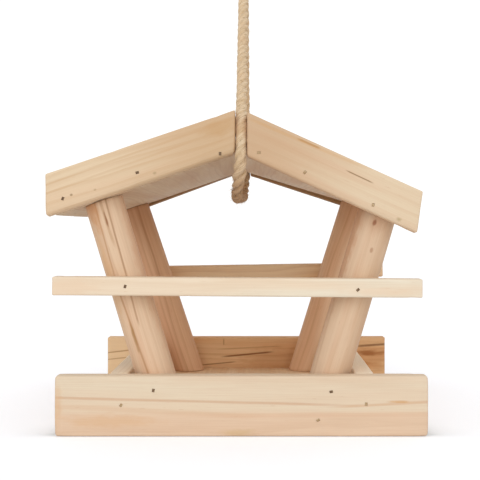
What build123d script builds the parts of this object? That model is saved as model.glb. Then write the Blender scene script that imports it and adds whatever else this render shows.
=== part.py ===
from build123d import *
import math
import os

# A hanging bird feeder of unfinished pine, in millimetres, +Z up.
# A nailed tray carries four round posts that lean outwards, with a narrow rail across the front
# pair and one across the back pair. The posts carry two roof panels between four gable boards,
# and a rope hangs slack under the ridge and runs up through a notch at each end to its knot.
# X runs across the front, Y runs to the back, the origin is the middle of the tray's underside.

# Sawn stock
BOARD = 10.7                  # thickness of the tray boards, the rails and the gable boards
PANEL = 8.0                   # thickness of the roof panels
EASED = 1.2                   # rounding of the boards' long and short edges
POST_RADIUS = 10.8
GABLE_WIDTH = 21.8            # width of a gable board, square to its own edges
RAIL_HEIGHT = 10.2

# Tray
TRAY_WIDTH = 200.0            # length of the front and back boards
TRAY_DEPTH = 200.0            # front face to back face
TRAY_HEIGHT = 32.5
SIDE_INNER_X = 61.6           # middle of the tray to the inner face of a side board
INNER_Y = TRAY_DEPTH / 2 - BOARD   # middle of the tray to the inner face of the front board

# Posts: where each one's axis meets the floor, and its lean outwards in degrees
POSTS = {
    ("front", "left"): (41.8, 16.8),
    ("front", "right"): (42.7, 16.5),
    ("back", "left"): (41.2, 18.5),
    ("back", "right"): (41.4, 17.4),
}
SEAT = 0.4                    # depth of the flat where a board is nailed to the round post
POST_Y = INNER_Y - POST_RADIUS + SEAT

# Roof: everything here is measured at the ridge plane, x = 0, and falls outwards from it
RIDGE = {"left": 152.7, "right": 151.5}         # height of a panel's underside at the ridge
SLOPE = {"left": 18.8, "right": 16.9}          # fall of a panel, in degrees
EAVE_X = {"left": 101.9, "right": 91.0}         # reach of a panel
NOTCH_X = {"left": 3.4, "right": 2.9}           # ridge plane to a gable board's inner end
# Each gable board: height of its lower edge at the ridge plane, fall in degrees,
# reach of its upper corner, and how much its outer end leans inwards, in degrees.
GABLES = {
    ("front", "left"): (153.0, 18.7, 105.0, 0.0),
    ("front", "right"): (151.2, 24.35, 97.2, 7.8),
    ("back", "left"): (152.8, 20.3, 105.0, 0.0),
    ("back", "right"): (150.0, 18.1, 97.0, 0.0),
}

# Rails: middle in x and z, length, and how much the right end rises, in degrees
RAILS = {
    "front": (-2.2, 79.9, 198.5, -0.4),
    "back": (-0.7, 79.6, 198.5, 0.9),
}

# Brads: a flat oblong head on a thin oblong shank, set a little below the wood's surface
HEAD = (1.7, 1.3)
SHANK = (1.2, 1.0)
HEAD_DEPTH = 0.6
SET_DEPTH = 0.5
BRAD_LENGTH = 25.0
SHORT_BRAD = 20.0
PIT_CLEARANCE = 2.0           # how far a pit's cut reaches out of the wood
SIDE_BRAD_Y = (-52.0, 50.0)   # brads through each side board of the tray
FOOT_BRAD_SHIFT = 1.5         # outwards from a post's foot, because the post leans
ROOF_BRADS = ((-4.5, -67.5), (5.0, 75.0))   # shift along y and turn of a post's two roof brads
RIDGE_BRAD_X = -9.0
RIDGE_BRAD_Y = (-61.0, 2.0, 58.0)
RIDGE_BRAD_DIP = 0.15         # fall of the askew ridge brads, for each millimetre across

# Cutting tools reach well past whatever they trim
REACH = 300.0
SPARE = 20.0

# Rope
ROPE_DIAMETER = 6.0
ARC_SHARE = 0.45              # how much of the shorter run each arc of the rope takes up
KNOT_X = -0.3
KNOT_Z = 274.0
KNOT_RADIUS = 10.5
TAIL_LENGTH = 17.0
TAIL_LEANS = (-24, 20)        # degrees to the back and to the front
# The rope's route, from the knot down the front leg, under the ridge and up the back leg.
ROPE_ROUTE = [
    (-0.3, -6.4, 267.0),
    (-0.1, -80.8, 184.3),
    (-0.15, -91.0, 172.9),
    (-0.25, -96.2, 159.5),
    (-0.35, -97.3, 147.1),
    (-1.8, -91.8, 136.1),
    (-2.9, -81.2, 129.5),
    (-2.9, -62.0, 128.4),
    (-2.4, -34.0, 129.6),
    (-1.8, -2.0, 130.5),
    (-1.6, 32.0, 131.6),
    (-1.9, 62.9, 132.4),
    (-1.7, 80.9, 133.3),
    (-0.9, 91.4, 140.1),
    (-0.25, 96.7, 151.5),
    (-0.25, 95.6, 164.0),
    (-0.25, 89.3, 175.6),
    (-0.3, 6.4, 267.0),
]

SIDE = {"left": -1, "right": 1}
END = {"front": -1, "back": 1}
CORNERS = [(end, side) for end in END for side in SIDE]


def board(x_limits, y_limits, z_limits):
    """A sawn board with eased edges, from its lowest to its highest x, y and z."""
    spans = [high - low for low, high in (x_limits, y_limits, z_limits)]
    middle = [(low + high) / 2 for low, high in (x_limits, y_limits, z_limits)]
    blank = Box(*spans)
    return Pos(*middle) * fillet(blank.edges(), EASED)


def sloped_blank(side, ridge_z, fall, thickness, x_limits, y_limits, end_lean=0.0):
    """A square-edged board that falls away from the ridge; x_limits are distances from the ridge."""
    drop = math.tan(math.radians(fall))
    rise = thickness / math.cos(math.radians(fall))
    x_in, x_out = x_limits
    x_out_low = x_out - rise * math.tan(math.radians(end_lean))
    outline = [
        (x_in, ridge_z - x_in * drop),
        (x_out_low, ridge_z - x_out_low * drop),
        (x_out, ridge_z - x_out * drop + rise),
        (x_in, ridge_z - x_in * drop + rise),
    ]
    corners = [(SIDE[side] * x, 0, z) for x, z in outline]
    face = Face(Wire.make_polygon([Vector(*corner) for corner in corners], close=True))
    y_low, y_high = y_limits
    solid = Solid.extrude(face.moved(Location((0, y_low, 0))), Vector(0, y_high - y_low, 0))
    return Part(solid.wrapped)


def tray_parts():
    half = TRAY_WIDTH / 2
    height = (0, TRAY_HEIGHT)
    outer_y = TRAY_DEPTH / 2
    outer_x = SIDE_INNER_X + BOARD
    floor = Box(2 * SIDE_INNER_X, 2 * INNER_Y, BOARD)
    return {
        "tray_floor": Pos(0, 0, BOARD / 2) * floor,
        "tray_front_board": board((-half, half), (-outer_y, -INNER_Y), height),
        "tray_back_board": board((-half, half), (INNER_Y, outer_y), height),
        "tray_left_board": board((-outer_x, -SIDE_INNER_X), (-INNER_Y, INNER_Y), height),
        "tray_right_board": board((SIDE_INNER_X, outer_x), (-INNER_Y, INNER_Y), height),
    }


def rail(end):
    x, z, length, tilt = RAILS[end]
    blank = Box(length, BOARD, RAIL_HEIGHT)
    eased = fillet(blank.edges(), EASED)
    y = END[end] * (TRAY_DEPTH - BOARD) / 2
    return Pos(x, y, z) * Rot(0, -tilt, 0) * eased


def panel(side):
    return sloped_blank(side, RIDGE[side], SLOPE[side], PANEL,
                        (0, EAVE_X[side]), (-INNER_Y, INNER_Y))


def gable(end, side):
    low_z, fall, reach, end_lean = GABLES[end, side]
    y_limits = sorted((END[end] * INNER_Y, END[end] * TRAY_DEPTH / 2))
    blank = sloped_blank(side, low_z, fall, GABLE_WIDTH, (NOTCH_X[side], reach), y_limits, end_lean)
    return fillet(blank.edges(), EASED)


def post(end, side):
    """A round post from the floor to the panel's underside, with flats where boards are nailed."""
    sign = SIDE[side]
    foot_x, lean = POSTS[end, side]
    stock = Cylinder(POST_RADIUS, REACH)
    y = END[end] * POST_Y
    leaning = Pos(sign * foot_x, y, BOARD) * Rot(0, sign * lean, 0) * stock
    below = Pos(0, 0, BOARD - REACH / 2) * Box(2 * REACH, 2 * REACH, REACH)
    above = sloped_blank(side, RIDGE[side], SLOPE[side], REACH,
                         (-REACH / 2, REACH), (-REACH, REACH))
    outer_y = END[end] * (INNER_Y + REACH / 2)
    outside = Pos(0, outer_y, 0) * Box(2 * REACH, REACH, 2 * TRAY_HEIGHT)
    x, z, length, tilt = RAILS[end]
    rail_zone = Pos(x, outer_y, z) * Rot(0, -tilt, 0) * Box(length, REACH, RAIL_HEIGHT)
    low_z, fall, reach, _ = GABLES[end, side]
    gable_zone = sloped_blank(side, low_z, fall, GABLE_WIDTH + SPARE, (0, reach + SPARE),
                              sorted((END[end] * INNER_Y, END[end] * REACH)))
    return leaning - below - above - outside - rail_zone - gable_zone


def brad_pair(place, direction, length=BRAD_LENGTH, turn=0.0):
    """A brad whose head is just below the surface point, and the cut it makes in the wood."""
    frame = Plane(origin=place, z_dir=direction) * Rot(0, 0, turn)
    up = (Align.CENTER, Align.CENTER, Align.MIN)
    head = Pos(0, 0, SET_DEPTH) * Box(*HEAD, HEAD_DEPTH, align=up)
    shank = Pos(0, 0, SET_DEPTH) * Box(*SHANK, length, align=up)
    pit_depth = PIT_CLEARANCE + SET_DEPTH + HEAD_DEPTH
    pit = Pos(0, 0, -PIT_CLEARANCE) * Box(*HEAD, pit_depth, align=up)
    return frame * (head + shank), frame * (pit + shank)


def underside_z(side, x):
    """Height of a panel's underside, at a signed distance x from the ridge."""
    return RIDGE[side] - abs(x) * math.tan(math.radians(SLOPE[side]))


def tray_brads():
    """Brads through the front and back boards into the posts, the side boards and the floor.

    Each head's x and z are listed, then how much each is turned, in degrees."""
    places = {
        "front": [(-47.1, 24.7), (48.0, 24.0), (-64.4, 16.8), (66.7, 17.4), (41.0, 8.8)],
        "back": [(-47.9, 22.4), (46.9, 24.0), (-66.6, 16.9), (65.2, 15.1), (-38.0, 6.9)],
    }
    turns = [10, 80, 35, 5, 60]
    groups = {}
    for end, heads in places.items():
        inwards = (0, -END[end], 0)
        y = END[end] * TRAY_DEPTH / 2
        groups["brads_tray_" + end] = [
            brad_pair((x, y, z), inwards, turn=turn) for (x, z), turn in zip(heads, turns)
        ]
    outer_x = SIDE_INNER_X + BOARD
    groups["brads_tray_sides"] = [
        brad_pair((SIDE[side] * outer_x, y, BOARD / 2), (-SIDE[side], 0, 0))
        for side in SIDE for y in SIDE_BRAD_Y
    ]
    return groups


def rail_brads():
    """A brad through each end of each rail, by its head's x, z and turn."""
    places = {"front": [(-62.2, 80.3, 15), (62.3, 78.5, 50)],
              "back": [(-63.4, 78.6, 70), (64.0, 80.3, 25)]}
    return [
        brad_pair((x, END[end] * TRAY_DEPTH / 2, z), (0, -END[end], 0), turn=turn)
        for end, heads in places.items() for x, z, turn in heads
    ]


def gable_brads(end):
    """Brads through a pair of gable boards into the panels' end grain or a post.

    Each is listed by its head's x and z, and how much the brad climbs inwards, in degrees."""
    places = {
        "front": [(-95.5, 127.3, 0), (-55.7, 141.2, 0), (-11.4, 151.3, 4),
                  (9.3, 151.9, 4), (33.9, 141.3, 10), (70.4, 123.9, 0)],
        "back": [(-90.0, 125.3, 2), (-50.5, 139.0, 2), (-13.0, 151.8, 2),
                 (12.5, 151.6, 0), (48.0, 139.9, 0), (83.5, 128.7, 0)],
    }
    turns = [20, 75, 0, 90, 40, 10]
    brads = []
    for (x, z, rise), turn in zip(places[end], turns):
        inwards = (0, -END[end], math.tan(math.radians(rise)))
        brads.append(brad_pair((x, END[end] * TRAY_DEPTH / 2, z), inwards, SHORT_BRAD, turn))
    return brads


def roof_to_post_brads():
    """A pair of brads down through each panel into the top of each post."""
    brads = []
    for end, side in CORNERS:
        foot_x, lean = POSTS[end, side]
        fall = math.radians(SLOPE[side])
        outwards = math.tan(math.radians(lean))
        rise = (RIDGE[side] - BOARD - foot_x * math.tan(fall)) / (1 + outwards * math.tan(fall))
        top_x = foot_x + rise * outwards
        x = SIDE[side] * (top_x + PANEL * math.sin(fall))
        z = underside_z(side, top_x) + PANEL * math.cos(fall)
        inwards = (-SIDE[side] * math.sin(fall), 0, -math.cos(fall))
        for shift, turn in ROOF_BRADS:
            place = (x, END[end] * (POST_Y + shift), z)
            brads.append(brad_pair(place, inwards, turn=turn))
    return brads


def ridge_brads():
    """Brads driven askew through the left panel's upper end into the right panel."""
    rise = PANEL / math.cos(math.radians(SLOPE["left"]))
    z = underside_z("left", RIDGE_BRAD_X) + rise
    return [brad_pair((RIDGE_BRAD_X, y, z), (1, 0, -RIDGE_BRAD_DIP), SHORT_BRAD)
            for y in RIDGE_BRAD_Y]


def post_foot_brads():
    """A brad up through the floor into the foot of each post."""
    brads = []
    for end, side in CORNERS:
        x = SIDE[side] * (POSTS[end, side][0] + FOOT_BRAD_SHIFT)
        brads.append(brad_pair((x, END[end] * POST_Y, 0), (0, 0, 1), turn=30))
    return brads


def all_brads():
    groups = tray_brads()
    groups["brads_rails"] = rail_brads()
    groups["brads_gables_front"] = gable_brads("front")
    groups["brads_gables_back"] = gable_brads("back")
    groups["brads_roof_to_posts"] = roof_to_post_brads()
    groups["brads_ridge"] = ridge_brads()
    groups["brads_post_feet"] = post_foot_brads()
    return groups


def arc_radii(route):
    """The largest tangent arc at each inner point of a route that its two runs leave room for."""
    points = [Vector(*point) for point in route]
    radii = []
    for before, here, after in zip(points, points[1:], points[2:]):
        turn = math.radians((here - before).get_angle(after - here))
        shorter = min((here - before).length, (after - here).length)
        radii.append(ARC_SHARE * shorter / math.tan(turn / 2))
    return radii


def hanging_rope():
    radii = arc_radii(ROPE_ROUTE)
    path = FilletPolyline(*ROPE_ROUTE, radius=radii)
    section = Plane(origin=path @ 0, z_dir=path % 0) * Circle(ROPE_DIAMETER / 2)
    tube = sweep(section, path=path)
    expected = math.pi * (ROPE_DIAMETER / 2) ** 2 * path.length
    print("rope: length %.1f mm, smallest radius %.1f mm" % (path.length, min(radii)))
    print("rope radii:", " ".join("%.0f" % radius for radius in radii))
    print("rope: volume %.0f of %.0f expected" % (tube.volume, expected))
    return tube


def rope_knot():
    """A round knot with two short tails, flattened where the rope's two legs run into it."""
    middle = Pos(KNOT_X, 0, KNOT_Z)
    up = (Align.CENTER, Align.CENTER, Align.MIN)
    tail = Cylinder(ROPE_DIAMETER / 2, KNOT_RADIUS + TAIL_LENGTH, align=up)
    knot = middle * Sphere(KNOT_RADIUS)
    for lean in TAIL_LEANS:
        knot += middle * Rot(lean, lean / 2, 0) * tail
    for first, second in (ROPE_ROUTE[:2], ROPE_ROUTE[:-3:-1]):
        outwards = Vector(*second) - Vector(*first)
        knot -= Plane(origin=first, z_dir=outwards) * Box(REACH, REACH, REACH, align=up)
    return knot


def feeder():
    """Every piece by name, with the brads' cuts taken out of the wood."""
    wood = tray_parts()
    for end in END:
        wood["rail_" + end] = rail(end)
    for side in SIDE:
        wood["roof_panel_" + side] = panel(side)
    for end, side in CORNERS:
        wood["gable_%s_%s" % (end, side)] = gable(end, side)
        wood["post_%s_%s" % (end, side)] = post(end, side)
    pieces = {}
    for group, pairs in all_brads().items():
        pieces[group] = Compound(children=[brad for brad, _ in pairs])
        for _, cut in pairs:
            for name, solid in wood.items():
                if solid.bounding_box().overlaps(cut.bounding_box()):
                    wood[name] = solid - cut
    pieces.update(wood)
    pieces["hanging_rope"] = hanging_rope()
    pieces["rope_knot"] = rope_knot()
    return pieces


def main():
    os.makedirs("parts", exist_ok=True)
    for name, piece in feeder().items():
        export_step(piece, "parts/%s.step" % name)


main()
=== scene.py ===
# The looks of a hanging bird feeder: sawn pine boards, round pine posts, brads and a laid rope.
# Blender works in metres, in the frame of the CAD model: X across the front, Y to the back, Z up.
# Sizes written here are in millimetres, and MM turns them into metres.
import math

import bmesh
import bpy
import numpy as np
from mathutils import Euler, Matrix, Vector


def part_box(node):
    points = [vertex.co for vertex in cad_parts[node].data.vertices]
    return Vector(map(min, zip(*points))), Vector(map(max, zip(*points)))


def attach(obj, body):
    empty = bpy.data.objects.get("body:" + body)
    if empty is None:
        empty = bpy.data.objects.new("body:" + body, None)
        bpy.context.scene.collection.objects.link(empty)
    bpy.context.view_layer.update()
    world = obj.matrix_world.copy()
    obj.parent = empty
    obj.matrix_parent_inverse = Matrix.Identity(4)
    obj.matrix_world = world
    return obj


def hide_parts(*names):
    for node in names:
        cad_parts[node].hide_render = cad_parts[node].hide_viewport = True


MM = 0.001
SIDE = {"left": -1, "right": 1}
END = {"front": -1, "back": 1}
CORNERS = [(end, side) for end in END for side in SIDE]

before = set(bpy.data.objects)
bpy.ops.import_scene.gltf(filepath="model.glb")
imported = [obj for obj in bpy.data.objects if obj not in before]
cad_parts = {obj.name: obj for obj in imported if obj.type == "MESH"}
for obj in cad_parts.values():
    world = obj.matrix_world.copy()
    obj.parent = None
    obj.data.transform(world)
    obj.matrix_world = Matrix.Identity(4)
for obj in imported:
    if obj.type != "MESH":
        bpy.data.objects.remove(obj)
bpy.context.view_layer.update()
rng = np.random.default_rng(11)


def points_of(node):
    """The corners of a CAD node's mesh, in millimetres."""
    return np.array([v.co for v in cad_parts[node].data.vertices]) / MM


# ---------------------------------------------------------------- shader helpers

def linear(hex_colour):
    """The linear colour of a six-digit sRGB colour."""
    channels = [int(hex_colour[i:i + 2], 16) / 255 for i in (0, 2, 4)]
    return tuple(c / 12.92 if c <= 0.04045 else ((c + 0.055) / 1.055) ** 2.4 for c in channels)


class Shader:
    """Short calls that add nodes to a material and link them."""

    def __init__(self, name):
        self.material = bpy.data.materials.new(name)
        self.material.use_nodes = True
        self.tree = self.material.node_tree
        self.principled = self.tree.nodes["Principled BSDF"]

    def set(self, socket, value):
        """Links a socket, or sets its value; a colour may be given in hex."""
        if isinstance(value, bpy.types.NodeSocket):
            self.tree.links.new(value, socket)
        elif isinstance(value, str):
            socket.default_value = (*linear(value), 1)
        elif value is not None:
            socket.default_value = value

    def node(self, kind, values=(), **settings):
        """A new node, with its inputs set or linked from values."""
        made = self.tree.nodes.new(kind)
        for key, value in settings.items():
            setattr(made, key, value)
        for key, value in dict(values).items():
            self.set(made.inputs[key], value)
        return made

    def millimetres(self):
        """The place on the object, in millimetres."""
        scaled = self.vector("SCALE", self.node("ShaderNodeTexCoord").outputs["Object"])
        scaled.node.inputs["Scale"].default_value = 1 / MM
        return scaled

    def surface(self, values):
        """Sets the surface's own inputs by name."""
        for name, value in values.items():
            self.set(self.principled.inputs[name], value)

    def math(self, operation, a, b=None):
        made = self.node("ShaderNodeMath", operation=operation)
        for socket, value in zip(made.inputs, (a, b)):
            self.set(socket, value)
        return made.outputs[0]

    def plus(self, a, b, share):
        """a with a share of b added."""
        return self.math("ADD", a, self.math("MULTIPLY", b, share))

    def vector(self, operation, a, b=None):
        made = self.node("ShaderNodeVectorMath", operation=operation)
        for socket, value in zip(made.inputs, (a, b)):
            self.set(socket, value)
        scalar = operation in ("LENGTH", "DOT_PRODUCT")
        return made.outputs["Value" if scalar else "Vector"]

    def noise(self, place, stretch, seed, detail=2.0, roughness=0.5):
        """Noise from 0 to 1 whose blots are about stretch millimetres long along each axis."""
        scaled = self.vector("DIVIDE", place, stretch)
        moved = self.vector("ADD", scaled, (seed, seed * 0.37, seed * 0.71))
        made = self.node("ShaderNodeTexNoise", {
            "Vector": moved, "Scale": 1.0, "Detail": detail, "Roughness": roughness})
        return made.outputs["Fac"]

    def ramp(self, value, low, high, out_low=0.0, out_high=1.0):
        """value mapped smoothly from low..high to out_low..out_high, and held beyond them."""
        made = self.node("ShaderNodeMapRange", {
            "Value": value, "From Min": low, "From Max": high,
            "To Min": out_low, "To Max": out_high}, interpolation_type="SMOOTHSTEP")
        return made.outputs["Result"]

    def mix(self, factor, a, b):
        made = self.node("ShaderNodeMix", data_type="RGBA")
        for index, value in ((0, factor), (6, a), (7, b)):
            self.set(made.inputs[index], value)
        return made.outputs[2]

    def bump(self, height, strength, distance):
        """Fine relief on the surface, distance millimetres deep."""
        made = self.node("ShaderNodeBump", {
            "Height": height, "Strength": strength, "Distance": distance * MM})
        self.surface({"Normal": made.outputs["Normal"]})


# ---------------------------------------------------------------- camera, floor and light

def seen_only(tree, socket, unseen, seen):
    """Sets a strength that differs between what the picture shows and the light that bounces."""
    path = tree.nodes.new("ShaderNodeLightPath")
    strength = tree.nodes.new("ShaderNodeMapRange")
    strength.inputs["To Min"].default_value = unseen
    strength.inputs["To Max"].default_value = seen
    tree.links.new(path.outputs["Is Camera Ray"], strength.inputs["Value"])
    tree.links.new(strength.outputs["Result"], socket)


# The camera's place in millimetres: across, how far in front of the tray, and above the floor.
CAMERA_X, CAMERA_DISTANCE, CAMERA_Z = 9.93, 543, 112.6
SENSOR, LENS = 36.0, 76.2
PICTURE = 480                                  # the picture's width and height
VIEW_SHIFT = (-20 / PICTURE, -13.9 / PICTURE)  # as shares of the picture's width


def make_camera():
    """A level camera, close enough for the back of the tray to look smaller than its front."""
    front_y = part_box("tray_front_board")[0].y
    data = bpy.data.cameras.new("camera")
    data.sensor_width = SENSOR
    data.lens = LENS
    data.shift_x, data.shift_y = VIEW_SHIFT
    camera = bpy.data.objects.new("camera", data)
    camera.location = (CAMERA_X * MM, front_y - CAMERA_DISTANCE * MM, CAMERA_Z * MM)
    camera.rotation_euler = (math.radians(90), 0, 0)
    bpy.context.scene.collection.objects.link(camera)
    bpy.context.scene.camera = camera


def make_floor():
    """A pale floor that glows a little, so that it is as light as the world behind it."""
    half = 4000 * MM
    mesh = bpy.data.meshes.new("floor")
    corners = [(-half, -half, 0), (half, -half, 0), (half, half, 0), (-half, half, 0)]
    mesh.from_pydata(corners, [], [(0, 1, 2, 3)])
    floor = bpy.data.objects.new("floor", mesh)
    bpy.context.scene.collection.objects.link(floor)
    s = Shader("white_floor")
    s.surface({"Base Color": (0.88, 0.88, 0.88, 1), "Roughness": 0.9, "Specular IOR Level": 0.1})
    # The glow is dimmer close beside the tray, which deepens the shadow where it stands.
    reach, shut_in = 34 * MM, 0.66
    before_tray, under_tray = -103, -95
    y = s.node("ShaderNodeSeparateXYZ", {"Vector": s.millimetres()}).outputs["Y"]
    openness = s.node("ShaderNodeAmbientOcclusion", {"Distance": reach}, samples=12).outputs["AO"]
    beside = s.math("MULTIPLY", s.ramp(openness, shut_in, 1.0, 1.0, 0.0),
                    s.ramp(y, before_tray, under_tray))
    s.surface({"Emission Color": s.mix(beside, (0.88, 0.91, 1, 1), (0.02, 0.14, 0.2, 1))})
    seen_only(s.tree, s.principled.inputs["Emission Strength"], unseen=0.0, seen=0.31)
    mesh.materials.append(s.material)


def sun(name, direction, spread, strength):
    """A far, soft light that shines along a direction; spread is its width in degrees."""
    data = bpy.data.lights.new(name, "SUN")
    data.angle = math.radians(spread)
    data.energy = strength
    light = bpy.data.objects.new(name, data)
    light.rotation_euler = Vector(direction).to_track_quat("-Z", "Y").to_euler()
    bpy.context.scene.collection.objects.link(light)


def make_light():
    """An even white world, and one soft light from the front and above."""
    world = bpy.data.worlds.new("studio")
    world.use_nodes = True
    background = world.node_tree.nodes["Background"]
    background.inputs["Color"].default_value = (1, 1, 1, 1)
    seen_only(world.node_tree, background.inputs["Strength"], unseen=0.78, seen=1.1)
    bpy.context.scene.world = world
    sun("key", direction=(0.05, 0.85, -0.42), spread=50, strength=0.85)
    bpy.context.scene.view_settings.view_transform = "Standard"


# ---------------------------------------------------------------- pine

class Pine(Shader):
    """Sawn pine: growth rings about an axis beside the board, fibres along it, its marks and a ramp;
    some marks and every ramp are painted light or shade.

    The grain runs along the board's local X, its face lies in local X and Z, in millimetres
    from the board's middle."""

    def __init__(self, name, middle, turn, pale, rose, deep, ring, pith, contrast, seed,
                 rose_below=None, painted_shading=None, marks=(), shine=0.35):
        super().__init__(name)
        coordinates = self.node("ShaderNodeTexCoord")
        mapping = self.node("ShaderNodeMapping", {
            "Vector": coordinates.outputs["Object"], "Location": tuple(c * MM for c in middle),
            "Rotation": turn, "Scale": (MM, MM, MM)}, vector_type="TEXTURE")
        self.place = mapping.outputs["Vector"]
        self.x, self.y, self.z = self.node(
            "ShaderNodeSeparateXYZ", {"Vector": self.place}).outputs
        self.seed = seed

        line = self.rings(ring, pith)
        colour = self.tint(pale, rose, rose_below)
        colour = self.mix(self.math("MULTIPLY", line, contrast), colour, deep)
        fibre = self.noise(self.place, (30, 0.5, 0.5), seed + 7, detail=3, roughness=0.65)
        shade = self.ramp(fibre, 0.3, 0.72, 0.0, 0.16)
        colour = self.mix(shade, colour, deep)
        flecks = self.noise(self.place, (7, 0.45, 0.45), seed + 21, detail=1)
        colour = self.mix(self.ramp(flecks, 0.72, 0.82, 0.0, 0.45), colour, deep)
        # Painted light and shade: a ramp along the grain that lightens or darkens one end of the
        # piece.
        if painted_shading:
            start, stop, strength, tone = painted_shading
            colour = self.mix(self.ramp(self.x, start, stop, 0.0, strength), colour, tone)
        for mark in marks:
            colour = self.add_mark(colour, *mark)

        saw = self.noise(self.place, (0.9, 22, 22), seed + 31, detail=1)
        self.bump(self.plus(self.plus(fibre, line, 0.5), saw, 0.35), 0.3, 0.12)
        gloss = self.noise(self.place, (60, 6, 6), seed + 41)
        self.surface({"Base Color": self.end_grain(colour, turn, deep),
                      "Roughness": self.ramp(gloss, 0.3, 0.7, 0.56, 0.7),
                      "Specular IOR Level": shine})

    def sway(self, stretch, seed):
        """Noise from -0.5 to 0.5."""
        return self.math("SUBTRACT", self.noise(self.place, stretch, seed), 0.5)

    def rings(self, ring, pith):
        """Darker late wood at the outer edge of each growth ring, from 0 to 1."""
        slow = self.sway((130, 20, 20), self.seed)
        quick = self.sway((38, 6, 6), self.seed + 1)
        across = self.node("ShaderNodeCombineXYZ", {
            "X": 0.0,
            "Y": self.math("SUBTRACT", self.y, pith[0]),
            "Z": self.math("SUBTRACT", self.z, pith[1])}).outputs[0]
        radius = self.plus(self.plus(self.vector("LENGTH", across), slow, 9.0), quick, 1.6)
        cycle = self.math("DIVIDE", radius, ring)
        number = self.math("FLOOR", cycle)
        part = self.math("FRACT", cycle)
        years = self.node("ShaderNodeTexWhiteNoise", {"W": self.math("ADD", number, self.seed)},
                          noise_dimensions="1D").outputs["Value"]
        late = self.math("MULTIPLY", self.ramp(part, 0.35, 0.9), self.ramp(part, 0.9, 1.0, 1, 0))
        return self.math("MULTIPLY", late, self.ramp(years, 0.0, 1.0, 0.25, 1.0))

    def tint(self, pale, rose, rose_below):
        """Broad zones of two tones; rose_below adds the second tone under that height."""
        blots = self.noise(self.place, (150, 12, 12), self.seed + 3, detail=3)
        zone = self.ramp(blots, 0.38, 0.64)
        if rose_below is not None:
            wavy = self.plus(self.z, blots, 6.0)
            low = self.ramp(wavy, rose_below - 1.0, rose_below + 5.0, 0.9, 0.0)
            zone = self.plus(low, zone, 0.35)
        return self.mix(zone, pale, rose)

    def end_grain(self, colour, turn, deep):
        """The sawn ends are darker than the faces."""
        grain = Vector((1, 0, 0))
        grain.rotate(Euler(turn))
        normal = self.node("ShaderNodeTexCoord").outputs["Normal"]
        facing = self.math("ABSOLUTE", self.vector("DOT_PRODUCT", normal, tuple(grain)))
        return self.mix(self.ramp(facing, 0.55, 0.95, 0.0, 0.5), colour, deep)

    def add_mark(self, colour, kind, *values):
        mask, tone = self.line(*values) if kind == "line" else self.blot(*values)
        return self.mix(mask, colour, tone)

    def line(self, start, end, width, strength, tone, wobble=0.8):
        """A streak between two points of the face, in x and z."""
        (x0, z0), (x1, z1) = start, end
        along = self.node("ShaderNodeMapRange", {
            "Value": self.x, "From Min": x0, "From Max": x1}).outputs["Result"]
        sway = self.sway((24, 9, 9), self.seed + x0)
        middle = self.plus(self.plus(z0, along, z1 - z0), sway, 2 * wobble)
        apart = self.math("ABSOLUTE", self.math("SUBTRACT", self.z, middle))
        across = self.ramp(apart, 0.2 * width, 0.8 * width, strength, 0)
        ends = self.math("MULTIPLY", self.ramp(along, 0.0, 0.2), self.ramp(along, 0.8, 1.0, 1, 0))
        return self.math("MULTIPLY", across, ends), tone

    def blot(self, middle, size, strength, tone):
        """An oval patch of the face with soft edges, such as a knot, a resin stain or a patch of
        painted shade.
        """
        apart = self.node("ShaderNodeCombineXYZ", {
            "X": self.math("DIVIDE", self.math("SUBTRACT", self.x, middle[0]), size[0]),
            "Y": 0.0,
            "Z": self.math("DIVIDE", self.math("SUBTRACT", self.z, middle[1]), size[1])})
        rough = self.sway((6, 2, 2), self.seed + 5)
        reach = self.math("ADD", self.vector("LENGTH", apart.outputs[0]), rough)
        return self.ramp(reach, 0.25, 1.0, strength, 0), tone


# ---------------------------------------------------------------- the shapes of the boards

# Each board's slope in degrees, falling to the right, the slopes of its left and right ends, and
# the axis that its grain runs along.
BOARDS = {
    "tray_front_board": (0, (0, 0), "x"),
    "tray_back_board": (0, (0, 0), "x"),
    "tray_left_board": (0, (0, 0), "y"),
    "tray_right_board": (0, (0, 0), "y"),
    "tray_floor": (0, (0, 0), "y"),
    "rail_front": (0.4, (0.4, 0.4), "x"),
    "rail_back": (-0.9, (-0.9, -0.9), "x"),
    "roof_panel_left": (-18.8, (0, 0), "y"),
    "roof_panel_right": (16.9, (0, 0), "y"),
    "gable_front_left": (-18.7, (0, 0), "x"),
    "gable_front_right": (24.35, (0, 7.8), "x"),
    "gable_back_left": (-20.3, (0, 0), "x"),
    "gable_back_right": (18.1, (0, 0), "x"),
}
POST_RADIUS = 10.8
POST_SEAT = 0.4               # how deep a post's flat is, where a board is nailed to it
# Where each post's axis meets the floor, and its lean outwards in degrees.
POST_STANCE = {
    ("front", "left"): (41.8, 16.8),
    ("front", "right"): (42.7, 16.5),
    ("back", "left"): (41.2, 18.5),
    ("back", "right"): (41.4, 17.4),
}
EASED = 1.2                   # the radius of a board's plain edges
# How much rounder than the other edges some corners and some lower front edges are, as a share of
# EASED. Below zero is sharper.
SOFT_CORNERS = {"tray_front_board": 0.5, "tray_back_board": -0.4, "rail_front": -0.25,
                "gable_front_left": -0.5, "gable_front_right": -0.5}
SOFT_EDGES = {"gable_front_left": 1.3, "gable_front_right": 0.6}


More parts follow.
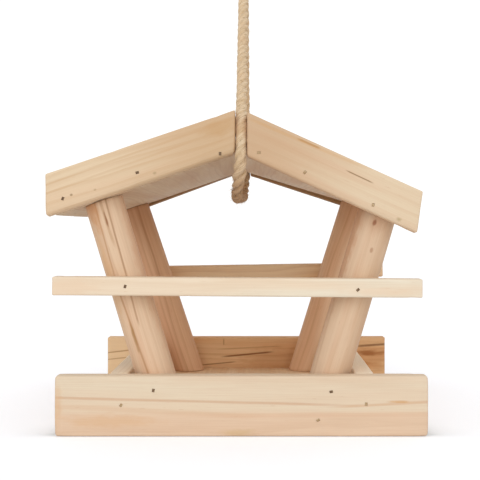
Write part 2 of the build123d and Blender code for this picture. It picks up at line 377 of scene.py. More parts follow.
class Board:
    """A CAD board's flat faces: eight corners where they meet, in millimetres."""

    def __init__(self, node):
        self.node = node
        fall, ends, self.grain = BOARDS[node]
        self.fall = math.radians(fall)
        left, right = (math.radians(angle) for angle in ends)
        up = np.array([math.sin(self.fall), 0, math.cos(self.fall)])
        self.normals = [
            (np.array([-math.cos(left), 0, math.sin(left)]),
             np.array([math.cos(right), 0, -math.sin(right)])),
            (np.array([0, -1.0, 0]), np.array([0, 1.0, 0])),
            (-up, up),
        ]
        points = points_of(node)
        self.reach = [[(points @ normal).max() for normal in pair] for pair in self.normals]
        self.corners = np.zeros((2, 2, 2, 3))
        for i, j, k in np.ndindex(2, 2, 2):
            sides = list(enumerate((i, j, k)))
            matrix = [self.normals[axis][side] for axis, side in sides]
            distances = [self.reach[axis][side] for axis, side in sides]
            self.corners[i, j, k] = np.linalg.solve(matrix, distances)
        c = self.corners
        self.sizes = np.array([
            np.linalg.norm((c[1] - c[0]).reshape(-1, 3), axis=1).mean(),
            np.linalg.norm((c[:, 1] - c[:, 0]).reshape(-1, 3), axis=1).mean(),
            self.reach[2][0] + self.reach[2][1],
        ])
        self.middle = c.reshape(-1, 3).mean(axis=0)

    def place(self, flat):
        """Points given in millimetres from the board's low corner, put where the board lies."""
        u, v, w = (flat / self.sizes).T
        placed = np.zeros_like(flat)
        for i, j, k in np.ndindex(2, 2, 2):
            share = (u if i else 1 - u) * (v if j else 1 - v) * (w if k else 1 - w)
            placed += share[:, None] * self.corners[i, j, k]
        return placed

    def holds_height(self, points):
        """Which points lie between the board's lower and upper faces."""
        below, above = ((points @ self.normals[2][side]) <= self.reach[2][side] for side in (0, 1))
        return below & above


def ripple(points, wavelengths, seed):
    """A smooth uneven field from -1 to 1, with waves about so long along each axis."""
    local = np.random.default_rng(seed)
    total = np.zeros(len(points))
    waves, gain = 7, 1.6
    for _ in range(waves):
        direction = local.normal(size=3) / np.array(wavelengths) * 3.0
        total += np.sin(points @ direction + local.uniform(0, 2 * math.pi))
    return total / waves * gain


def grid_lines(length, cell):
    """Places of the grid lines along one side: close together over the rounded edges."""
    edge = [EASED * (1 - math.tan(math.radians(angle))) for angle in (45, 30, 15, 0)]
    count = max(1, round((length - 2 * EASED) / cell))
    inner = np.linspace(EASED, length - EASED, count + 1)
    return np.concatenate([edge[:-1], inner, [length - t for t in edge[-2::-1]]])


def shell_of(counts):
    """The surface points of a block of grid points, and the outward faces between them."""
    number = np.full(counts, -1)
    hollow = np.zeros(counts, bool)
    hollow[1:-1, 1:-1, 1:-1] = True
    surface = np.argwhere(~hollow)
    number[tuple(surface.T)] = np.arange(len(surface))
    faces = []
    for axis in range(3):
        layers = np.moveaxis(number, (axis, (axis + 1) % 3, (axis + 2) % 3), (0, 1, 2))
        for layer, outward in ((layers[0], -1), (layers[-1], 1)):
            square = np.stack(
                [layer[:-1, :-1], layer[1:, :-1], layer[1:, 1:], layer[:-1, 1:]], axis=-1)
            faces.append(square.reshape(-1, 4)[:, ::outward])
    return surface, np.concatenate(faces)


def tube_faces(rings, around):
    """The faces round a tube whose points come ring by ring."""
    here = np.arange(rings * around).reshape(rings, around)
    beside = np.roll(here, -1, axis=1)
    return np.stack([here[:-1], beside[:-1], beside[1:], here[1:]], axis=-1).reshape(-1, 4)


def add_mesh(name, points, faces, smooth_angle=None):
    """A mesh object from points in millimetres."""
    mesh = bpy.data.meshes.new(name)
    mesh.from_pydata((np.asarray(points) * MM).tolist(), [], [list(map(int, f)) for f in faces])
    mesh.validate()
    mesh.shade_smooth()
    if smooth_angle:
        mesh.set_sharp_from_angle(angle=math.radians(smooth_angle))
    made = bpy.data.objects.new(name, mesh)
    bpy.context.scene.collection.objects.link(made)
    return made


def wear(board, flat):
    """How much rounder than its plain edges a board is at each point."""
    spread = 5.0
    to_corner = np.linalg.norm(np.minimum(flat, board.sizes - flat), axis=1)
    to_lower_front = np.linalg.norm(flat[:, 1:], axis=1)
    return (SOFT_CORNERS.get(board.node, 0.0) * np.exp(-(to_corner / spread) ** 2)
            + SOFT_EDGES.get(board.node, 0.0) * np.exp(-(to_lower_front / spread) ** 2))


def board_shape(board, seed):
    """A board with softly rounded edges of uneven radius, a few dents and a slight waviness."""
    cell, dents = 2.4, 9
    lines = [grid_lines(length, cell) for length in board.sizes]
    surface, faces = shell_of([len(line) for line in lines])
    flat = np.stack([lines[axis][surface[:, axis]] for axis in range(3)], axis=1)
    long_axis = 0 if board.grain == "x" else 1
    along = np.full(3, 9.0)
    along[long_axis] = 90.0
    radius = (EASED * (1 + 0.22 * ripple(flat, (40, 40, 40), seed) + wear(board, flat)))[:, None]
    core = np.clip(flat, radius, board.sizes - radius)
    outward = flat - core
    normal = outward / np.linalg.norm(outward, axis=1)[:, None]
    depth = 0.07 + 0.04 * ripple(flat, (60, 60, 60), seed + 1) + 0.03 * ripple(flat, along, seed + 2)
    local = np.random.default_rng(seed + 3)
    for _ in range(dents):
        # Every dent is on one of the four long edges.
        spot = local.uniform(0, 1, 3) * board.sizes
        corner = local.integers(0, 2, 3) * board.sizes
        first = (long_axis + local.integers(1, 3)) % 3
        second = 3 - long_axis - first
        for axis in (first, second):
            spot[axis] = corner[axis]
        apart = np.linalg.norm(flat - spot, axis=1)
        depth += local.uniform(0.1, 0.3) * np.exp(-(apart / local.uniform(1.2, 2.6)) ** 2)
    points = board.place(core + normal * (radius - depth[:, None]))
    return add_mesh(board.node + "_wood", points, faces)


def post_shape(end, side, boards, seed):
    """A round post cut level at the floor and sloping under the roof, flat where it is nailed."""
    name = "post_%s_%s" % (end, side)
    foot_x, lean_degrees = POST_STANCE[end, side]
    lean = math.radians(lean_degrees)
    axis = np.array([SIDE[side] * math.sin(lean), 0, math.cos(lean)])
    across = np.array([math.cos(lean), 0, -SIDE[side] * math.sin(lean)])
    bottom_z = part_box(name)[0].z / MM
    inner_face = abs(boards["tray_%s_board" % end].corners[0, (1 - END[end]) // 2, 0, 1])
    foot = np.array([
        SIDE[side] * foot_x, END[end] * (inner_face - POST_RADIUS + POST_SEAT), bottom_z])
    panel = boards["roof_panel_" + side]
    roof_normal, roof_reach = panel.normals[2][0], panel.reach[2][0]
    chamfer = 0.5
    ring_count, around = 64, 72
    cap_radii = [share * (POST_RADIUS - chamfer) for share in (0.35, 0.7, 1.0)]
    angles = np.linspace(0, 2 * math.pi, around, endpoint=False)

    def ring(radius, share, inset):
        """A ring between the floor (share 0) and the roof (share 1), inset from that end."""
        offset = np.outer(np.cos(angles), across) + np.outer(np.sin(angles), (0, 1.0, 0))
        start = foot + offset * np.reshape(radius, (-1, 1))
        bottom = (foot[2] - start[:, 2]) / axis[2]
        top = (roof_reach - start @ roof_normal) / (axis @ roof_normal)
        reach = bottom + inset + (top - bottom - 2 * inset) * share
        return start + reach[:, None] * axis

    points = [ring(radius, 0.0, 0.0) for radius in cap_radii]
    for share in np.linspace(0, 1, ring_count):
        uneven = 0.06 + 0.05 * ripple(ring(POST_RADIUS, share, chamfer), (18, 18, 90), seed)
        points.append(ring(POST_RADIUS - uneven, share, chamfer))
    points += [ring(radius, 1.0, 0.0) for radius in reversed(cap_radii)]
    rings = len(points)
    points = np.concatenate(points)
    faces = tube_faces(rings, around).tolist()
    middle = len(points)
    points = np.concatenate([points, [points[:around].mean(axis=0)], [points[-around:].mean(axis=0)]])
    last = (rings - 1) * around
    for a in range(around):
        b = (a + 1) % around
        faces += [(middle, b, a), (middle + 1, last + a, last + b)]
    outer = points[:, 1] * END[end]
    for board_name in ("tray_%s_board" % end, "rail_" + end, "gable_%s_%s" % (end, side)):
        nailed = boards[board_name].holds_height(points) & (outer > inner_face)
        points[nailed, 1] = END[end] * inner_face
    if side == "left":
        faces = [face[::-1] for face in faces]
    return add_mesh(name + "_wood", points, faces, smooth_angle=50)


# ---------------------------------------------------------------- brads and their pits

def islands(node):
    """The separate solids of a CAD node, each as its own array of points in millimetres."""
    work = bmesh.new()
    work.from_mesh(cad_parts[node].data)
    bmesh.ops.remove_doubles(work, verts=work.verts, dist=0.01 * MM)
    left = set(work.verts)
    groups = []
    while left:
        queue = [left.pop()]
        group = []
        while queue:
            vertex = queue.pop()
            group.append(list(vertex.co))
            for edge in vertex.link_edges:
                other = edge.other_vert(vertex)
                if other in left:
                    left.remove(other)
                    queue.append(other)
        groups.append(np.array(group) / MM)
    work.free()
    return groups


def pit_prism(points):
    """The corners of a pit over a brad's head, from the head's underside to clear of the wood."""
    head_depth, clear, ease = 0.6, 3.0, 1.1
    # A brad's two ends begin this far from its middle, and its head's points share one height.
    far, level = 5, 0.05
    centred = points - points.mean(axis=0)
    axis = np.linalg.svd(centred, full_matrices=False)[2][0]
    spread = [np.linalg.norm(np.cross(centred[near], axis), axis=1).max()
              for near in (centred @ axis > far, centred @ axis < -far)]
    if spread[1] > spread[0]:
        axis = -axis
    height = points @ axis
    head = points[height > height.max() - level]
    middle = head.mean(axis=0)
    first = head[0] - middle
    second = np.cross(axis, first)
    angles = np.arctan2((head - middle) @ second, (head - middle) @ first)
    ring = middle + (head - middle)[np.argsort(angles)] * ease
    return np.concatenate([ring - axis * head_depth, ring + axis * clear])


PRISM_FACES = [(3, 2, 1, 0), (4, 5, 6, 7), (0, 1, 5, 4), (1, 2, 6, 5), (2, 3, 7, 6), (3, 0, 4, 7)]


def cut_pits(piece, prisms):
    """Cuts the brads' pits out of a board."""
    margin = 0.5
    wood = np.array([v.co for v in piece.data.vertices]) / MM
    low, high = wood.min(axis=0) - margin, wood.max(axis=0) + margin
    heads = [(prism, prism[:4].mean(axis=0)) for prism in prisms]
    near = [prism for prism, head in heads if np.all(head > low) and np.all(head < high)]
    if not near:
        return
    points = np.concatenate(near)
    faces = [[8 * n + i for i in face] for n in range(len(near)) for face in PRISM_FACES]
    cutter = add_mesh("pit_cutter", points, faces)
    modifier = piece.modifiers.new("pits", "BOOLEAN")
    modifier.operation = "DIFFERENCE"
    modifier.solver = "EXACT"
    modifier.object = cutter
    graph = bpy.context.evaluated_depsgraph_get()
    cut = bpy.data.meshes.new_from_object(piece.evaluated_get(graph))
    piece.modifiers.clear()
    piece.data = cut
    bpy.data.objects.remove(cutter)


# ---------------------------------------------------------------- rope

ROPE_ROUTE = [
    (-0.3, -6.4, 267.0),
    (-0.1, -80.8, 184.3),
    (-0.15, -91.0, 172.9),
    (-0.25, -96.2, 159.5),
    (-0.35, -97.3, 147.1),
    (-1.8, -91.8, 136.1),
    (-2.9, -81.2, 129.5),
    (-2.9, -62.0, 128.4),
    (-2.4, -34.0, 129.6),
    (-1.8, -2.0, 130.5),
    (-1.6, 32.0, 131.6),
    (-1.9, 62.9, 132.4),
    (-1.7, 80.9, 133.3),
    (-0.9, 91.4, 140.1),
    (-0.25, 96.7, 151.5),
    (-0.25, 95.6, 164.0),
    (-0.25, 89.3, 175.6),
    (-0.4, 80.4, 185.4),
    (-0.3, 6.4, 267.0),
]
# Places on the rope, in mm, where its fibres stand out in a tuft, and how many do.
TUFTS = [((-2.9, -81.2, 129.5), 340), ((-1.8, -91.8, 136.1), 300), ((-1.2, -95.5, 141.0), 180),
         ((-0.25, -94.5, 165.0), 120)]
# Where the lay opens, at the mouth of the front notch and in the bend under it: the place, how
# far along the rope, and how much thicker it is there.
OPENED = [((-0.2, -92.0, 170.0), 7.0, 0.1), ((-1.2, -95.5, 140.5), 6.0, 0.24)]
# The notches squeeze the strands together, which fills most of the grooves between them over some
# length of the rope.
SQUEEZED = [(-0.25, -95.0, 163.5), (-0.25, 96.2, 158.0)]
FILLED, FILLED_LENGTH = 0.88, 11.0
# One end of the rope goes straight up through the knot, the other is wound round it.
CORE_END = [(4.4, -9.2, 298.5), (3.6, -7.2, 292.5), (1.6, -3.6, 287.0), (0.0, -0.6, 282.0),
            (-0.3, 0.3, 277.0), (-0.3, -1.6, 272.4), (-0.3, -6.4, 267.0)]
WOUND_EXIT = [(-6.9, 3.2, 285.6), (-6.7, 6.2, 290.0), (-6.3, 8.6, 294.3), (-5.9, 10.6, 298.5)]


def wound_end():
    """The end that is wound round the core a little over one and a half times, and leaves it."""
    radius, step, rise, rising_points = 6.7, 45, 0.72, 10
    heights = [270.2, 272.2, 274.0, 275.3]
    heights += [heights[-1] + k * rise for k in range(1, rising_points + 1)]
    middle_x = ROPE_ROUTE[-1][0]
    route = [ROPE_ROUTE[-1], (middle_x, 4.6, 269.0)]
    for k, height in enumerate(heights):
        angle = math.radians(step - step * k)
        route.append((middle_x + radius * math.cos(angle), radius * math.sin(angle), height))
    return route + WOUND_EXIT


def spline_points(route):
    """Points read from the smooth line that a route's control points make, in millimetres."""
    curve = bpy.data.curves.new("rope_line", "CURVE")
    curve.dimensions = "3D"
    curve.resolution_u = 16
    spline = curve.splines.new("NURBS")
    spline.points.add(len(route) - 1)
    for point, place in zip(spline.points, route):
        point.co = (*(c * MM for c in place), 1)
    spline.order_u = 3
    spline.use_endpoint_u = True
    line = bpy.data.objects.new("rope_line", curve)
    bpy.context.scene.collection.objects.link(line)
    graph = bpy.context.evaluated_depsgraph_get()
    mesh = bpy.data.meshes.new_from_object(line.evaluated_get(graph))
    points = np.array([v.co for v in mesh.vertices]) / MM
    bpy.data.objects.remove(line)
    bpy.data.meshes.remove(mesh)
    return points


def even_steps(points, step):
    """The same line, with points a fixed distance apart."""
    gaps = np.linalg.norm(np.diff(points, axis=0), axis=1)
    distance = np.concatenate([[0], np.cumsum(gaps)])
    wanted = np.linspace(0, distance[-1], round(distance[-1] / step) + 1)
    return np.stack([np.interp(wanted, distance, points[:, axis]) for axis in range(3)], axis=1)


class RopeLine:
    """The middle line of the whole rope, from one loose end to the other, with its directions."""

    step = 0.7

    def __init__(self):
        core = spline_points(CORE_END)
        legs = spline_points(ROPE_ROUTE)
        wound = spline_points(wound_end())
        self.leg_points = legs
        line = even_steps(np.concatenate([core[:-1], legs, wound[1:]]), self.step)
        self.points = line
        self.along = np.gradient(line, axis=0)
        self.along /= np.linalg.norm(self.along, axis=1)[:, None]
        side = np.array([1.0, 0, 0])
        sides = []
        for direction in self.along:
            side = side - direction * (side @ direction)
            side /= np.linalg.norm(side)
            sides.append(side)
        self.side = np.array(sides)
        self.up = np.cross(self.along, self.side)
        self.distance = np.arange(len(line)) * self.step
        self.first = int(np.linalg.norm(line - legs[0], axis=1).argmin())
        self.last = int(np.linalg.norm(line - legs[-1], axis=1).argmin())

    def nearest(self, place):
        return int(np.linalg.norm(self.points - np.array(place), axis=1).argmin())


STRAND_RADIUS = 1.75
STRAND_OFFSET = 1.35          # middle of the rope to the middle of a strand
ROPE_PITCH = 19.5             # rope length in which a strand goes round once
YARN_PITCH = 26.0             # rope length in which a strand's yarns go round once
YARNS = 6
STRANDS = 3
RIDGE = 0.08                  # how far the yarns' ridges stand out from a strand


def laid_rope(name, line, first, last):
    """A stretch of rope: three round strands that meet in shallow grooves, ridged with yarn.

    The attribute "lay" holds each point's place on its own strand, for the fibres' colour."""
    around = 54
    sector = 2 * math.pi / STRANDS
    s = line.distance[first:last + 1, None]
    angles = np.linspace(0, 2 * math.pi, around, endpoint=False)[None, :]
    uneven_lay = 0.16 * np.sin(s / 17.0) + 0.1 * np.sin(s / 6.1)
    turned = (angles - 2 * math.pi * s / ROPE_PITCH - uneven_lay + sector / 2) % (2 * math.pi)
    strand = np.floor(turned / sector)
    from_crest = turned % sector - sector / 2
    reach = STRAND_OFFSET * np.cos(from_crest) + np.sqrt(
        STRAND_RADIUS ** 2 - (STRAND_OFFSET * np.sin(from_crest)) ** 2)
    own_out = reach * np.cos(from_crest) - STRAND_OFFSET
    own_across = reach * np.sin(from_crest)
    own_angle = np.arctan2(own_across, own_out) - 2 * math.pi * s / YARN_PITCH
    ridges = 0.07 * np.cos(YARNS * own_angle) + 0.06 * np.sin(s / 2.9 + 2.1 * strand)
    loose = 0.09 * np.sin(s / 9.3 + 1.7 * strand)
    reach = reach + (ridges + loose) * np.cos(1.5 * from_crest)

    def beside(place, length):
        """1 at a place on the rope, falling to 0 along the rope on either side."""
        return np.exp(-((s - line.distance[line.nearest(place)]) / length) ** 2)

    for place in SQUEEZED:
        full = STRAND_OFFSET + STRAND_RADIUS + RIDGE
        reach += FILLED * beside(place, FILLED_LENGTH) * (full - reach)
    for place, length, thicker in OPENED:
        reach *= 1 + thicker * beside(place, length)
    outward = (np.cos(angles)[..., None] * line.side[first:last + 1, None]
               + np.sin(angles)[..., None] * line.up[first:last + 1, None])
    points = line.points[first:last + 1, None] + reach[..., None] * outward
    lay = np.stack([s + 90 * strand, STRAND_RADIUS * np.cos(own_angle),
                    STRAND_RADIUS * np.sin(own_angle)], axis=-1)

    ring = np.arange(around)
    caps = [ring[::-1].tolist(), (ring + (len(s) - 1) * around).tolist()]
    made = add_mesh(name, points.reshape(-1, 3), tube_faces(len(s), around).tolist() + caps)
    field = made.data.attributes.new("lay", "FLOAT_VECTOR", "POINT")
    field.data.foreach_set("vector", lay.astype(np.float32).ravel())
    return made


def tapered_hairs(roots, starts, bends, lengths, radii):
    """Points and faces of many thin curved fibres, three-sided and tapering."""
    rows, corners = 6, 3
    helper = np.where(np.abs(starts[:, 2:3]) < 0.9, [[0, 0, 1.0]], [[1.0, 0, 0]])
    side = np.cross(starts, helper)
    side /= np.linalg.norm(side, axis=1)[:, None]
    up = np.cross(starts, side)
    points = []
    for share in np.linspace(0, 1, rows):
        middle = roots + lengths[:, None] * (share * starts + share ** 2 * bends)
        width = (radii * (1 - 0.75 * share))[:, None]
        for corner in range(corners):
            angle = 2 * math.pi * corner / corners
            points.append(middle + width * (math.cos(angle) * side + math.sin(angle) * up))
    points = np.stack(points, axis=1).reshape(-1, 3)
    pattern = tube_faces(rows, corners)
    starts_at = np.arange(len(roots)) * rows * corners
    faces = [quad for start in starts_at for quad in (start + pattern).tolist()]
    last = (rows - 1) * corners
    for start in starts_at.tolist():
        faces += [[start + 2, start + 1, start], [start + last + i for i in range(corners)]]
    return points, faces


def rope_fibres(line):
    """Loose fibres over the whole rope, tufts in and under the front notch, and frayed ends."""
    loose, from_end, tuft_spread, frayed = 2600, 4, 14, 90
    chosen = [rng.integers(from_end, len(line.points) - from_end, loose)]
    for place, count in TUFTS:
        chosen.append(line.nearest(place) + rng.integers(-tuft_spread, tuft_spread, count))
    index = np.concatenate(chosen)
    angle = rng.uniform(0, 2 * math.pi, len(index))
    outward = np.cos(angle)[:, None] * line.side[index] + np.sin(angle)[:, None] * line.up[index]
    sideways = np.cross(line.along[index], outward)
    roots = line.points[index] + outward * rng.uniform(2.2, 2.75, len(index))[:, None]
    sense = rng.choice([-1, 1], len(index))[:, None]
    starts = (line.along[index] * sense + outward * rng.uniform(0.05, 0.7, len(index))[:, None]
              + sideways * rng.normal(0, 0.5, len(index))[:, None])
    starts /= np.linalg.norm(starts, axis=1)[:, None]
    bends = rng.normal(0, 0.28, (len(index), 3)) + 0.1 * outward
    lengths = rng.gamma(3.0, 0.75, len(index)).clip(0.8, 6.5)
    radii = rng.uniform(0.03, 0.075, len(index))
    ends = []
    for row, sign in ((1, -1), (len(line.points) - 2, 1)):
        spot = rng.uniform(-2.4, 2.4, (frayed, 2))
        ends.append((
            line.points[row] + spot[:, :1] * line.side[row] + spot[:, 1:] * line.up[row],
            sign * line.along[row] + rng.normal(0, 0.25, (frayed, 3)),
            rng.normal(0, 0.25, (frayed, 3)), rng.uniform(2, 6, frayed),
            rng.uniform(0.05, 0.1, frayed)))
    parts = [(roots, starts, bends, lengths, radii)] + ends
    roots, starts, bends, lengths, radii = (np.concatenate(values) for values in zip(*parts))
    starts /= np.linalg.norm(starts, axis=1)[:, None]
    points, faces = tapered_hairs(roots, starts, bends, lengths, radii)
    return add_mesh("rope_fibres", points, faces)


# ---------------------------------------------------------------- the other materials

class Jute(Shader):
    """The rope's own colours, with painted shade: its loop under the ridge is painted browner, where
    the roof shades it.
    """

    # Painted shade: how much browner the rope is painted low down, under the roof.
    def shade_under_roof(self, place):
        height = self.node("ShaderNodeSeparateXYZ", {"Vector": place}).outputs["Z"]
        return self.ramp(height, 130, 152, 0.6, 0.0)


def rope_material():
    s = Jute("jute_rope")
    lay = s.node("ShaderNodeAttribute", attribute_name="lay").outputs["Vector"]
    place = s.millimetres()
    fibre = s.noise(lay, (7, 0.22, 0.22), 3, detail=3, roughness=0.7)
    strip = s.noise(lay, (16, 0.8, 0.8), 9, detail=1)
    specks = s.noise(lay, (2.2, 0.5, 0.5), 17, detail=1)
    blots = s.noise(place, (14, 14, 14), 5)
    colour = s.mix(s.ramp(strip, 0.35, 0.7), "EAD3B4", "D8BA93")
    colour = s.mix(s.ramp(fibre, 0.35, 0.75, 0.0, 0.45), colour, "BC9B6E")
    colour = s.mix(s.ramp(specks, 0.6, 0.72, 0.0, 0.8), colour, "8E7345")
    colour = s.mix(s.ramp(blots, 0.5, 0.75, 0.0, 0.35), colour, "D3A675")
    # Painted shade on the rope's loop under the roof.
    colour = s.mix(s.shade_under_roof(place), colour, "A87A50")
    s.surface({"Base Color": colour, "Roughness": 0.85, "Specular IOR Level": 0.25,
               "Sheen Weight": 0.15})
    s.bump(fibre, 0.6, 0.25)
    return s.material


def fibre_material():
    s = Jute("jute_fibre")
    place = s.millimetres()
    blots = s.noise(place, (3, 3, 3), 2)
    colour = s.mix(s.ramp(blots, 0.35, 0.7), "E8D2B2", "C6A578")
    # Painted shade on the fibres of the loop under the roof.
    s.surface({"Base Color": s.mix(s.shade_under_roof(place), colour, "A87A50"), "Roughness": 0.8})
    return s.material


# The middles, in x and z, of the front brads that are worn to a paler steel, and how far from
# such a middle a face may be to belong to that brad.
PALE_BRADS = [(9.3, 151.9), (33.9, 141.3), (70.4, 123.9), (-64.4, 16.8), (66.7, 17.4), (41.0, 8.8)]
BRAD_REACH = 2.5


def steel_material(name, dark, light):
    s = Shader(name)
    place = s.millimetres()
    worn = s.noise(place, (0.7, 0.7, 0.7), 4, detail=3)
    s.surface({"Base Color": s.mix(s.ramp(worn, 0.4, 0.65), dark, light), "Metallic": 0.35,
               "Roughness": s.ramp(worn, 0.35, 0.7, 0.45, 0.7)})
    s.bump(worn, 0.3, 0.05)
    return s.material


# ---------------------------------------------------------------- each board's own wood

# Tones: pale and rose earlywood, and the deep latewood. Ring is the width of a year in
# millimetres, pith the place of the tree's middle across the board, in local Y and Z. A painted
# shading goes from one local X to another, with its strength and tone: a ramp of painted light
# or painted shade along the piece. A mark is a line or a blot.
WOOD = {
    "tray_front_board": dict(
        pale="E7D6BC", rose="E5C8AC", deep="C69A74", ring=3.6, pith=(46, 4), contrast=0.16,
        seed=3, rose_below=-2.5,
        marks=[("line", (-130, 5.4), (70, 0.2), 1.3, 0.5, "CB9C78", 0.3),
               ("line", (44, -0.6), (130, 3.9), 1.4, 0.5, "D3A67E", 0.3),
               ("line", (-125, 1.4), (15, -5.8), 2.6, 0.3, "D9AE88", 0.5),
               ("line", (-20, -5.0), (125, -4.0), 2.2, 0.3, "DBB08C", 0.5),
               ("blot", (84, 2.4), (7, 0.9), 0.6, "D29B5E"),
               ("blot", (-72, -8), (36, 5), 0.4, "DBAE7E"),
               ("blot", (-99, 0), (4, 16), 0.4, "DDAE80"),
               ("blot", (-2, -14), (12, 3), 0.35, "CFAE72")]),
    # Painted light: the ramp lightens the board's left end, which lies out of the roof's shade.
    "tray_back_board": dict(
        pale="E6C093", rose="DEAE7D", deep="AC6F3C", ring=3.0, pith=(-28, -30), contrast=0.34,
        seed=12, painted_shading=(-46, -86, 0.72, "F0D2AA"),
        marks=[("blot", (92, 2), (34, 13), 0.42, "B9743A"),
               ("blot", (22, 0), (34, 12), 0.3, "B27038"),
               ("line", (-20, 1.9), (22, 5.9), 1.1, 0.9, "7E4E28", 0.3),
               ("line", (-34, -3.9), (-6, -1.4), 0.8, 0.75, "8A5830", 0.3),
               ("line", (-24, 7.5), (30, 10.1), 0.8, 0.4, "A06E40", 0.3),
               ("blot", (-16.2, 12.9), (0.7, 3.4), 0.6, "9C6C40"),
               ("blot", (88, 4.9), (13, 2.5), 0.74, "96551F"),
               ("blot", (84, -2.1), (12, 2.0), 0.55, "B5743A"),
               ("line", (75, 9.4), (122, 12.9), 1.5, 0.7, "6A4220", 0.5),
               ("line", (-112, 3.7), (-80, 7.5), 0.9, 0.6, "A0703E", 0.3),
               ("line", (-112, -1.1), (-82, 2.1), 0.8, 0.5, "A0703E", 0.3)]),
    "tray_left_board": dict(
        pale="F0E0C6", rose="E9D0AE", deep="CBA078", ring=2.8, pith=(40, 12), contrast=0.3,
        seed=21),
    "tray_right_board": dict(
        pale="FCEEDA", rose="F6E2C6", deep="D8B892", ring=3.1, pith=(-36, -8), contrast=0.22,
        seed=27),
    "tray_floor": dict(
        pale="F0D5B2", rose="E8C69E", deep="C08E60", ring=3.4, pith=(0, 60), contrast=0.14,
        seed=33),
    "rail_front": dict(
        pale="EEE2CC", rose="EEDAC0", deep="D2AE88", ring=3.0, pith=(30, -14), contrast=0.2,
        seed=41,
        marks=[("blot", (-92, 0), (26, 9), 0.5, "EBCDAE"),
               ("blot", (74, -2), (30, 3), 0.4, "EBCDAE")]),
    "rail_back": dict(
        pale="EFD5B1", rose="E8C59D", deep="B68252", ring=2.4, pith=(-22, 14), contrast=0.35,
        seed=47),
    "roof_panel_left": dict(
        pale="DCC7AB", rose="D2B698", deep="AC8763", ring=3.3, pith=(20, 55), contrast=0.22,
        seed=51),
    "roof_panel_right": dict(
        pale="E9D6BD", rose="DFC3A5", deep="B8936F", ring=3.0, pith=(-30, 50), contrast=0.22,
        seed=57),
    # Painted shade: the ramp darkens the gable towards the ridge.
    "gable_front_left": dict(
        pale="E8D3B3", rose="E5C9A8", deep="C79B6C", ring=3.9, pith=(14, -42), contrast=0.27,
        seed=63, painted_shading=(-34, 46, 0.6, "C39C72"),
        marks=[("blot", (46, 4.5), (14, 5.5), 0.4, "C4955E"),
               ("line", (-70, 5.2), (62, 7.0), 1.2, 0.32, "CBA276", 0.5),
               ("line", (-70, 0.4), (40, 2.4), 1.1, 0.3, "CBA276", 0.5),
               ("blot", (-40.2, -4.2), (1.0, 0.8), 0.7, "8F6F4A"),
               ("blot", (-27.3, -5.6), (1.0, 0.8), 0.45, "A08058"),
               ("blot", (5.7, -7.5), (1.3, 1.1), 0.5, "A08A62")]),
    # Painted shade: the ramp darkens the gable towards the ridge.
    "gable_front_right": dict(
        pale="E5CFB0", rose="E2C4A5", deep="CA9E78", ring=4.1, pith=(26, -34), contrast=0.2,
        seed=71, painted_shading=(30, -46, 0.6, "C29A72"),
        marks=[("line", (4.4, 4.2), (22.5, 3.9), 0.6, 0.85, "8E6B45", 0.1),
               ("line", (-26, 8.9), (-11, 9.1), 1.0, 0.75, "B07C42", 0.2),
               ("line", (-60, 8.0), (20, 9.6), 1.6, 0.35, "D0A068", 0.4),
               ("blot", (42.1, -8.1), (2.4, 1.4), 0.5, "A08C58")]),
    # Painted shade: the dark line along each back gable's lower edge, where it hangs below the roof
    # panel.
    "gable_back_left": dict(
        pale="DCC096", rose="D0A87C", deep="A8743F", ring=3.2, pith=(-18, -36), contrast=0.4,
        seed=77, marks=[("line", (-90, -10.2), (90, -10.2), 3.6, 0.62, "7E5636", 0.3)]),
    "gable_back_right": dict(
        pale="DCBF94", rose="CFA679", deep="A8743F", ring=3.5, pith=(-20, 38), contrast=0.4,
        seed=83, marks=[("line", (-90, -10.0), (90, -10.0), 4.6, 0.6, "7C5230", 0.3)]),
}
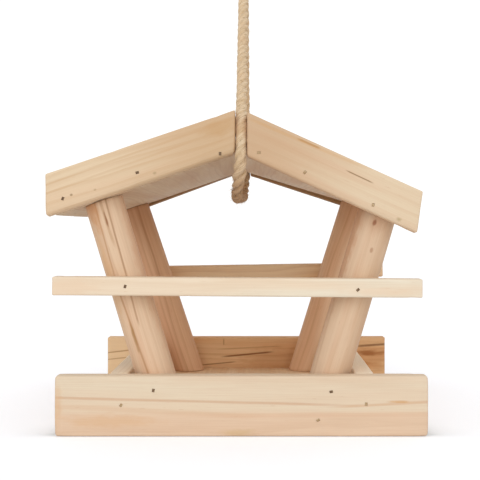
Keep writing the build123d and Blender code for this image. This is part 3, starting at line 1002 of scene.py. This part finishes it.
# A post's local X runs up its axis, and its local Z points to the left across it.
POSTS = {
    # Painted shade: the last blot runs the length of the post's right side and darkens the side that
    # faces in.
    ("front", "left"): dict(
        pale="E6C9AB", rose="E2BD9E", deep="B98A62", ring=3.8, pith=(-20, 14), contrast=0.22,
        seed=91,
        marks=[("line", (70, -1.7), (6, -0.3), 0.9, 0.5, "8F6038", 0.3),
               ("line", (72, 1.7), (30, 1.0), 1.5, 0.4, "A87648", 0.4),
               ("blot", (48, 1.2), (6.5, 0.9), 0.7, "8A5630"),
               ("line", (76, 4.4), (8, 6.2), 0.8, 0.45, "B07A4C", 0.4),
               ("line", (16, 0.0), (-14, 0.7), 1.0, 0.5, "9A6238", 0.5),
               ("line", (20, 6.7), (-62, 2.2), 1.0, 0.5, "A87444", 0.6),
               ("blot", (-18, 5.2), (11, 1.1), 0.6, "A0763E"),
               ("blot", (20, 8.5), (34, 3.0), 0.4, "E0B07E"),
               ("blot", (62, 7.5), (24, 5.5), 0.6, "C98D5A"),
               ("blot", (20, -10), (70, 4.5), 0.4, "D9A27C")]),
    # Painted shade: the ramp darkens the post towards the roof, and the wide last blot darkens its
    # left side, which faces in.
    ("front", "right"): dict(
        pale="E1C5A8", rose="DCB899", deep="B5865E", ring=4.2, pith=(16, 20), contrast=0.2,
        seed=97, painted_shading=(30, 64, 0.34, "B98A62"),
        marks=[("blot", (45.2, 0.1), (2.2, 1.5), 0.85, "8A4A30"),
               ("blot", (45.0, -1.5), (8, 5), 0.3, "C89878"),
               ("blot", (30.5, -2.5), (1.8, 1.1), 0.5, "A06A4A"),
               ("blot", (34, 10), (60, 4.5), 0.5, "C0835A")]),
    # Painted shade: the ramp darkens the post towards the roof.
    ("back", "left"): dict(
        pale="E3BB97", rose="DEAF8B", deep="AC734C", ring=3.4, pith=(-14, 18), contrast=0.3,
        seed=103, painted_shading=(18, 62, 0.4, "A86F4A"),
        marks=[("line", (70, -2.4), (-4, -2.0), 1.4, 0.4, "9A5E36", 0.6)]),
    # Painted shade: the ramp darkens the post towards the roof.
    ("back", "right"): dict(
        pale="E9C5A3", rose="E3B995", deep="B27C54", ring=3.6, pith=(-18, -12), contrast=0.28,
        seed=109, painted_shading=(30, 66, 0.4, "A56C48")),
}


def board_turn(board):
    """How the wood's local X and Z lie: along the grain, and up or across the face."""
    if board.grain == "x":
        return (0, board.fall, 0)
    if board.node.startswith("roof_panel") or board.node == "tray_floor":
        return (math.radians(90), 0, math.radians(90))
    return (0, 0, math.radians(90))


def post_turn(end, side):
    """How a post's local axes lie: X up along it, Z to the left across it."""
    return (0, math.radians(SIDE[side] * POST_STANCE[end, side][1] - 90), 0)


def finish_wood(piece, node, middle, turn, look):
    """Gives a piece its own pine, hangs it under the root body and hides the CAD part it stands for.
    """
    pine = Pine("pine_" + node, middle, turn, **look)
    piece.data.materials.clear()
    piece.data.materials.append(pine.material)
    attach(piece, "root")
    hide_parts(node)


def make_wood():
    boards = {node: Board(node) for node in BOARDS}
    brad_nodes = [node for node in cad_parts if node.startswith("brads_")]
    prisms = [pit_prism(points) for node in brad_nodes for points in islands(node)]
    for seed, (node, board) in enumerate(boards.items()):
        piece = board_shape(board, 100 * seed)
        cut_pits(piece, prisms)
        piece.data.set_sharp_from_angle(angle=math.radians(50))
        finish_wood(piece, node, board.middle, board_turn(board), WOOD[node])
    for seed, (end, side) in enumerate(CORNERS):
        node = "post_%s_%s" % (end, side)
        piece = post_shape(end, side, boards, 2000 + 100 * seed)
        low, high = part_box(node)
        middle = (low + high) / 2 / MM
        finish_wood(piece, node, middle, post_turn(end, side), dict(POSTS[end, side], shine=0.12))
    dark = steel_material("dark_brad_steel", "6A523C", "947A5C")
    pale = steel_material("pale_brad_steel", "B89C76", "D2BA94")
    for node in brad_nodes:
        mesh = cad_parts[node].data
        mesh.materials.clear()
        for steel in (dark, pale):
            mesh.materials.append(steel)
        for face in mesh.polygons:
            x, y, z = face.center / MM
            near = any(math.hypot(x - a, z - b) < BRAD_REACH for a, b in PALE_BRADS)
            face.material_index = int(near and y < 0)


def joined(name, parts):
    """One object from several, keeping their attributes."""
    bpy.ops.object.select_all(action="DESELECT")
    for part in parts:
        part.select_set(True)
    bpy.context.view_layer.objects.active = parts[0]
    bpy.ops.object.join()
    parts[0].name = name
    parts[0].data.name = name
    return parts[0]


def make_rope():
    line = RopeLine()
    rope = laid_rope("twisted_rope", line, line.first, line.last)
    core = laid_rope("core", line, 0, line.first)
    wound = laid_rope("wound", line, line.last, len(line.points) - 1)
    knot = joined("wrapped_knot", [core, wound])
    fibres = rope_fibres(line)
    jute = rope_material()
    for piece, material in ((rope, jute), (knot, jute), (fibres, fibre_material())):
        piece.data.materials.append(material)
        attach(piece, "root")
    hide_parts("hanging_rope")
    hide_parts("rope_knot")


make_camera()
make_floor()
make_light()
make_wood()
make_rope()
